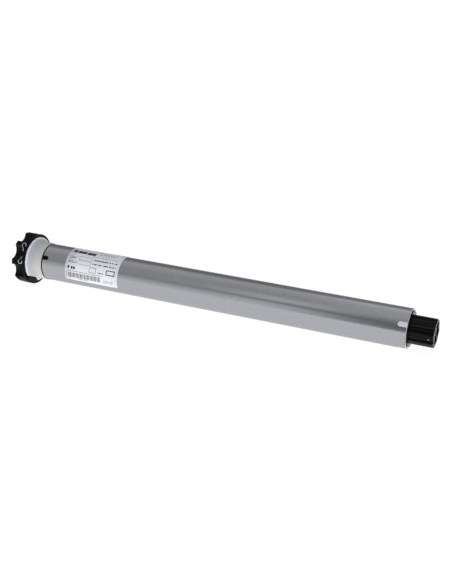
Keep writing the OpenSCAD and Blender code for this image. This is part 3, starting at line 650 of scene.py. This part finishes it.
class SHUTTER_OT_stage(bpy.types.Operator):
    """Make the floor, the light and the camera"""

    bl_idname = "shutter_motor.stage"
    bl_label = "Studio"

    def execute(self, context):
        looks = context.scene.shutter_motor.stage
        self.make_camera(context, looks)
        self.make_floor(looks)
        self.make_lamp(context, looks)
        self.make_world(context, looks)
        context.scene.view_settings.view_transform = "Standard"
        return {"FINISHED"}

    def make_camera(self, context, looks):
        az, el = looks.azimuth, looks.elevation
        back = Vector((math.sin(az) * math.cos(el), -math.cos(az) * math.cos(el), math.sin(el)))
        camera = bpy.data.objects.new("camera", bpy.data.cameras.new("camera"))
        camera.data.lens = looks.lens
        camera.data.clip_start = 0.01
        camera.location = Vector(looks.aim) + back * looks.distance
        camera.rotation_mode = "QUATERNION"
        camera.rotation_quaternion = (-back).to_track_quat("-Z", "Y")
        context.scene.collection.objects.link(camera)
        context.scene.camera = camera

    def make_floor(self, looks):
        """A plane just under the star's lobes and the tube's far end, on which the motor lies."""
        star_low, star_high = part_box("head_star")
        tube_low, tube_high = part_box("motor_tube")
        slope = (tube_low.z - star_low.z) / (tube_high.x - star_high.x)
        side = np.linspace(-0.5, 0.5, 3) * looks.floor_side
        x, y = np.meshgrid(side, side, indexing="ij")
        z = star_low.z - 0.1 * MM + slope * (x - star_high.x)
        faces = grid_faces(len(side), len(side))[:, ::-1]
        floor = add_piece("floor", np.stack([x, y, z], axis=-1), faces, white_paper(), None)

    def make_lamp(self, context, looks):
        """One large soft lamp on the camera's side, a little above the motor."""
        lamp = bpy.data.objects.new("soft_lamp", bpy.data.lights.new("soft_lamp", "AREA"))
        lamp.data.shape, lamp.data.size = "DISK", looks.lamp_size
        lamp.data.energy = looks.lamp_power
        lamp.location = looks.lamp_place
        # gloss shows the room alone
        lamp.visible_glossy = False
        lamp.rotation_mode = "QUATERNION"
        way = Vector(looks.lamp_aim) - lamp.location
        lamp.rotation_quaternion = way.to_track_quat("-Z", "Y")
        context.scene.collection.objects.link(lamp)

    def make_world(self, context, looks):
        """An even white room. Gloss sees a white backdrop at the horizon and a grey ceiling."""
        world = bpy.data.worlds.new("studio")
        world.use_nodes = True
        context.scene.world = world
        tree = world.node_tree
        tree.nodes.clear()
        way = add_node(tree, "SeparateXYZ", {0: add_node(tree, "TexCoord").outputs["Generated"]})
        front = add_node(
            tree, "Math", {0: way.outputs[1], 1: -1.0}, operation="MULTIPLY"
        ).outputs[0]
        room = self.room_seen_in_gloss(tree, way, front)
        # the even light is a little stronger from the front than from behind
        sky = add_node(tree, "MapRange", {0: front, 1: -1.0, 2: 1.0, 3: 0.42, 4: 0.64})
        even = add_node(
            tree, "Background", {"Color": (*looks.room_light, 1), "Strength": sky.outputs[0]}
        )
        gloss = add_node(tree, "Background", {"Color": room})
        white = add_node(tree, "Background", {"Color": (*linear("ffffff"), 1)})
        path = add_node(tree, "LightPath").outputs
        clear = add_node(
            tree, "Math", {0: path["Is Camera Ray"], 1: path["Is Transmission Ray"]},
            operation="MAXIMUM",
        )
        lit = add_node(
            tree, "MixShader", {0: path["Is Glossy Ray"], 1: even.outputs[0], 2: gloss.outputs[0]}
        )
        seen = add_node(
            tree, "MixShader", {0: clear.outputs[0], 1: lit.outputs[0], 2: white.outputs[0]}
        )
        add_node(tree, "OutputWorld", {"Surface": seen.outputs[0]})

    def room_seen_in_gloss(self, tree, way, front):
        """The grey of the room in a direction, band after band laid over the ones before."""
        tilt = add_node(tree, "Math", {0: front, 1: way.outputs[2]}, operation="ARCTAN2")
        turn = add_node(tree, "MapRange", {0: tilt.outputs[0], 1: -math.pi, 2: math.pi})
        room = None
        for start, end, greys in ROOM_BANDS:
            stops = [(0.5 + degrees / 360, (grey,) * 3) for degrees, grey in greys]
            band = add_node(tree, "ValToRGB", {0: turn.outputs[0]}, stops=stops).outputs[0]
            fade = add_node(tree, "MapRange", {0: way.outputs[0], 1: start, 2: end}).outputs[0]
            colours = {0: fade, 6: band if room is None else room, 7: band}
            room = add_node(tree, "Mix", colours, data_type="RGBA").outputs[2]
        return room


class SHUTTER_OT_head(bpy.types.Operator):
    """Dress the star head, its neck, the guard and the limit unit's housing, and print arrows"""

    bl_idname = "shutter_motor.head"
    bl_label = "Head"

    def execute(self, context):
        looks = context.scene.shutter_motor.head
        dress(glass_filled_nylon(looks), "head_star", "head_neck", "crown_guard", "limit_housing")
        # the guard throws no soft shadow on the milky crown behind it, which light shines through
        NODES["crown_guard"].visible_diffuse = False
        round_edges(looks.edge, "head_star", "crown_guard")
        low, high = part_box("head_star")
        # the marks lie at this share of the star's length and this far above its lobes' reach
        share, clearance, thickness = 0.61, 0.04 * MM, 0.1 * MM
        # each tail ends this far from the valley's middle line
        apart = 3 * MM
        x_middle = low.x + share * (high.x - low.x)
        radius = self.lobe_reach("head_star") + clearance
        valley = looks.lobe_angle + math.pi / LOBES
        ink = printed_ink("grey_mark_ink", looks.ink, (0.45, 0.6))
        for name, side in (("turn_arrow_up", 1), ("turn_arrow_down", -1)):
            ribbon = turn_arrow(looks, side)
            down = ribbon[..., 1] - side * (looks.tail + apart)
            turn = valley + down / radius
            x = x_middle + ribbon[..., 0]
            points = wrapped(x, turn, star_radius(turn, radius, looks))
            piece = add_piece(name, points, grid_faces(len(points), 2), ink, "housing")
            thicken(piece, thickness)
        return {"FINISHED"}

    def lobe_reach(self, name):
        """Largest distance of a CAD node's points from the axis."""
        mesh = NODES[name].data
        points = np.empty(len(mesh.vertices) * 3)
        mesh.vertices.foreach_get("co", points)
        return np.hypot(points[1::3], points[2::3]).max()


class SHUTTER_OT_crown(bpy.types.Operator):
    """Dress the crown ring that the shutter's tube turns"""

    bl_idname = "shutter_motor.crown"
    bl_label = "Crown ring"

    def execute(self, context):
        looks = context.scene.shutter_motor.crown
        dress(natural_nylon(looks), "crown_ring")
        round_edges(looks.edge, "crown_ring")
        return {"FINISHED"}


class SHUTTER_OT_tube(bpy.types.Operator):
    """Dress the motor tube"""

    bl_idname = "shutter_motor.tube"
    bl_label = "Tube"

    def execute(self, context):
        dress(plated_tube_steel(context.scene.shutter_motor.tube), "motor_tube")
        return {"FINISHED"}


class SHUTTER_OT_label(bpy.types.Operator):
    """Wrap the printed film round the tube"""

    bl_idname = "shutter_motor.label"
    bl_label = "Label"

    def execute(self, context):
        looks = context.scene.shutter_motor.label
        low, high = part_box("rating_label")
        # the film stands this far off the tube, and its ink lies and stands this far off the film
        film_gap, ink_gap, ink_thickness = 0.05 * MM, 0.01 * MM, 0.01 * MM
        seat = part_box("motor_tube")[1].z + film_gap
        turn0, turn1 = looks.first_edge, looks.first_edge + looks.wrap
        points, faces = film_grid(low.x, high.x, turn0, turn1, seat, looks.corner)
        film = add_piece("label_film", points, faces, label_film(looks), "housing")
        thicken(film, looks.thickness)
        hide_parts("rating_label")
        ink = printed_ink("black_label_ink", looks.ink, (0.3, 0.42))
        radius = seat + looks.thickness + ink_gap
        points, faces = print_grid(self.ink_bars(looks.ticks) * MM, low.x, turn0, radius)
        marks = add_piece("label_print", points, faces, ink, "housing")
        thicken(marks, ink_thickness)
        return {"FINISHED"}

    def ink_bars(self, ticks):
        """Where the ink lies: plain bars, cells, rules and rows of dashes, with nothing to read.

        All is in mm, along the axis from the film's head-side edge and down from its first edge.
        """
        headline = [[4, 9.5, 15.7, 20.2], [10.5, 22.5, 16.0, 20.6], [23.5, 35.5, 16.5, 21.0]]
        blocks = [[3.4, 5.8, 39.2, 42.6], [8.4, 10.8, 39.6, 43.0], [11.6, 14.0, 39.6, 43.0]]
        rules = [[3, 52, 45.2, 45.7], [2.6, 3.1, 47.3, 54]]
        return np.vstack([
            headline, dashes(40, 66, 15.4, 0.7, 1), dashes(40, 62, 17.6, 0.7, 2),
            dashes(3, 15, 26.6, 1.0, 3), dashes(3, 14, 28.6, 1.0, 4),
            frame_lines(16.5, 34, 25.4, 30.0, 0.3),
            dashes(3, 15, 32.4, 1.0, 5), dashes(3, 15, 34.4, 1.0, 6),
            frame_lines(16.5, 34, 31.2, 36.0, 0.3),
            blocks,
            dashes(33, 69, 22.4, 0.8, 8), dashes(37, 70, 26.8, 1.6, 9, 2.6),
            dashes(36, 70, 32.0, 1.6, 11, 2.6),
            frame_lines(34, 43, 37.2, 43.6, 0.5), dashes(46, 54, 41.8, 1.3, 12),
            frame_lines(57, 69, 37.0, 43.4, 1.1),
            rules, self.tick_bars(ticks),
            dashes(18, 32, 54.9, 0.8, 13), dashes(54, 68, 50.8, 0.8, 14),
            dashes(54, 66, 52.8, 0.8, 15),
        ])

    def tick_bars(self, count):
        """A block of evenly spaced bars, of which every third is thicker."""
        first, block, top, bottom = 5, 45, 47.3, 54.0
        number = np.arange(count)
        pitch = block / count
        start = first + pitch * number
        width = pitch * np.where(number % 3 == 1, 0.68, 0.44)
        return np.stack(np.broadcast_arrays(start, start + width, top, bottom), axis=1)


class SHUTTER_OT_drive(bpy.types.Operator):
    """Dress the output bearing and the drive spigot"""

    bl_idname = "shutter_motor.drive"
    bl_label = "Drive end"

    def execute(self, context):
        looks = context.scene.shutter_motor.drive
        dress(gloss_moulding(looks), "drive_spigot")
        dress(white_acetal(looks), "output_bearing")
        round_edges(looks.edge, "drive_spigot")
        return {"FINISHED"}


class SHUTTER_OT_limit_unit(bpy.types.Operator):
    """Dress the socket, the adjusting screws and the limit unit"""

    bl_idname = "shutter_motor.limit_unit"
    bl_label = "Limit unit"

    def execute(self, context):
        looks = context.scene.shutter_motor.inside
        dress(
            white_acetal(looks), "limit_frame", "limit_pinion", "up_wheel_a", "up_wheel_b",
            "down_wheel_a", "down_wheel_b", "up_adjuster",
        )
        # yellow acetal, moulded: an even, opaque colour with a soft sheen
        yellow = even_finish(
            "yellow_acetal", shade(looks.down_screw, 0.94), looks.down_screw,
            grain=2, roughness=(0.3, 0.4),
        )
        dress(yellow, "down_adjuster")
        # grey PBT, moulded: matt and slightly mottled by its glass fibres
        grey = even_finish(
            "grey_pbt", shade(looks.grey_pbt, 0.85), shade(looks.grey_pbt, 1.1),
            grain=0.8, roughness=(0.4, 0.55), bump=0.01,
        )
        dress(grey, "cable_socket", "up_switch", "down_switch", "capacitor_cradle")
        # brass contacts, turned and tinned: warm, with fine turning lines
        brass = even_finish(
            "tinned_brass", linear("b9a26a"), linear("d0bd8c"),
            grain=0.3, roughness=(0.22, 0.34), metallic=1.0, bump=0.003, stretch=0.2,
        )
        dress(brass, "contact_pins")
        dress(lead_insulation(), "lead_wires")
        return {"FINISHED"}


class SHUTTER_OT_motor(bpy.types.Operator):
    """Dress the capacitor, the motor and its brake"""

    bl_idname = "shutter_motor.motor"
    bl_label = "Motor and brake"

    def execute(self, context):
        looks = context.scene.shutter_motor.inside
        # capacitor can, drawn aluminium under a white sleeve: smooth and faintly creased
        can = even_finish(
            "sleeved_capacitor_can", linear("d5d7da"), linear("e3e5e8"),
            grain=6, roughness=(0.25, 0.35), bump=0.05, stretch=3,
        )
        dress(can, "capacitor")
        dress(laminated_iron(), "stator_core", "rotor_core")
        dress(wound_copper(looks), "stator_winding")
        # die-cast zinc, as cast: light grey and finely pitted
        cast = even_finish(
            "die_cast_zinc", linear("a3a5a8"), linear("b7b9bc"),
            grain=0.9, roughness=(0.38, 0.52), metallic=1.0, bump=0.02,
        )
        dress(
            cast, "front_end_shield", "rear_end_shield", "brake_housing", "gearbox_flange",
            "gear_case",
        )
        # ground steel: bright, with grinding lines round the part
        bright = even_finish(
            "ground_steel", linear("b8b9ba"), linear("cfd0d1"),
            grain=0.25, roughness=(0.16, 0.28), metallic=1.0, bump=0.003, stretch=0.15,
        )
        dress(
            bright, "wheel_axle", "up_lever", "down_lever", "bearing_outer_rings",
            "bearing_inner_rings", "bearing_balls", "rotor_shaft", "brake_spring",
            "carrier_pins_1", "carrier_pins_2", "carrier_pins_3", "cross_pin",
        )
        # phosphated steel: dark, matt and crystalline
        dark = even_finish(
            "phosphated_steel", linear("4a4b4d"), linear("606163"),
            grain=0.4, roughness=(0.42, 0.55), metallic=1.0, bump=0.01,
        )
        dress(dark, "brake_armature", "output_carrier")
        # brake lining: brown resin with light and dark fibres
        lining = even_finish(
            "brake_lining", linear("3b2a20"), linear("6b5140"),
            grain=0.5, roughness=(0.7, 0.9), bump=0.04,
        )
        dress(lining, "brake_disc")
        self.press_spring()
        return {"FINISHED"}

    def press_spring(self):
        """Gives the brake spring a mesh of its own."""
        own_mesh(NODES["brake_spring"])


class SHUTTER_OT_gearbox(bpy.types.Operator):
    """Dress the planetary gears"""

    bl_idname = "shutter_motor.gearbox"
    bl_label = "Gearbox"

    def execute(self, context):
        looks = context.scene.shutter_motor.inside
        # filled nylon gears: cream, with a waxy sheen
        nylon = even_finish(
            "filled_gear_nylon", shade(looks.gear_nylon, 0.92), looks.gear_nylon,
            grain=1.5, roughness=(0.35, 0.45), bump=0.01,
        )
        dress(nylon, "planet_1a", "planet_1b", "planet_1c")
        # sintered steel: grey-brown and open-pored, oiled
        sintered = even_finish(
            "sintered_steel", linear("6b6863"), linear("8d8a84"),
            grain=0.35, roughness=(0.3, 0.5), metallic=1.0, bump=0.02,
        )
        dress(
            sintered, "sun_gear_1", "carrier_1", "carrier_2", "planet_2a", "planet_2b",
            "planet_2c", "planet_3a", "planet_3b", "planet_3c",
        )
        return {"FINISHED"}


class SHUTTER_PT_panel(bpy.types.Panel):
    """Sizes, colours and steps of the shutter motor"""

    bl_label = "Shutter Motor"
    bl_idname = "SHUTTER_PT_panel"
    bl_space_type = "VIEW_3D"
    bl_region_type = "UI"
    bl_category = "Shutter Motor"

    def draw(self, context):
        looks = context.scene.shutter_motor
        for group, operators in PANEL_ROWS:
            box = self.layout.box()
            for operator in operators:
                box.operator(operator.bl_idname)
            part = getattr(looks, group)
            for name in part.__annotations__:
                box.prop(part, name)


PANEL_ROWS = (
    ("stage", (SHUTTER_OT_stage,)),
    ("head", (SHUTTER_OT_head,)),
    ("crown", (SHUTTER_OT_crown,)),
    ("tube", (SHUTTER_OT_tube,)),
    ("label", (SHUTTER_OT_label,)),
    ("drive", (SHUTTER_OT_drive,)),
    ("inside", (SHUTTER_OT_limit_unit, SHUTTER_OT_motor, SHUTTER_OT_gearbox)),
)
GROUPS = (
    HeadLooks, CrownLooks, TubeLooks, LabelLooks, DriveLooks, InsideLooks, StageLooks, MotorLooks,
)
OPERATORS = tuple(operator for _, operators in PANEL_ROWS for operator in operators)
CLASSES = GROUPS + OPERATORS + (SHUTTER_PT_panel,)


def register():
    """Adds the groups, the operators and the panel, and the scene's settings."""
    for cls in CLASSES:
        bpy.utils.register_class(cls)
    bpy.types.Scene.shutter_motor = PointerProperty(type=MotorLooks)


def unregister():
    """Takes them away again."""
    del bpy.types.Scene.shutter_motor
    for cls in reversed(CLASSES):
        bpy.utils.unregister_class(cls)


def main():
    """Registers the add-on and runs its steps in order."""
    register()
    bpy.ops.shutter_motor.stage()
    bpy.ops.shutter_motor.head()
    bpy.ops.shutter_motor.crown()
    bpy.ops.shutter_motor.tube()
    bpy.ops.shutter_motor.label()
    bpy.ops.shutter_motor.drive()
    bpy.ops.shutter_motor.limit_unit()
    bpy.ops.shutter_motor.motor()
    bpy.ops.shutter_motor.gearbox()


if __name__ == "__main__":
    main()
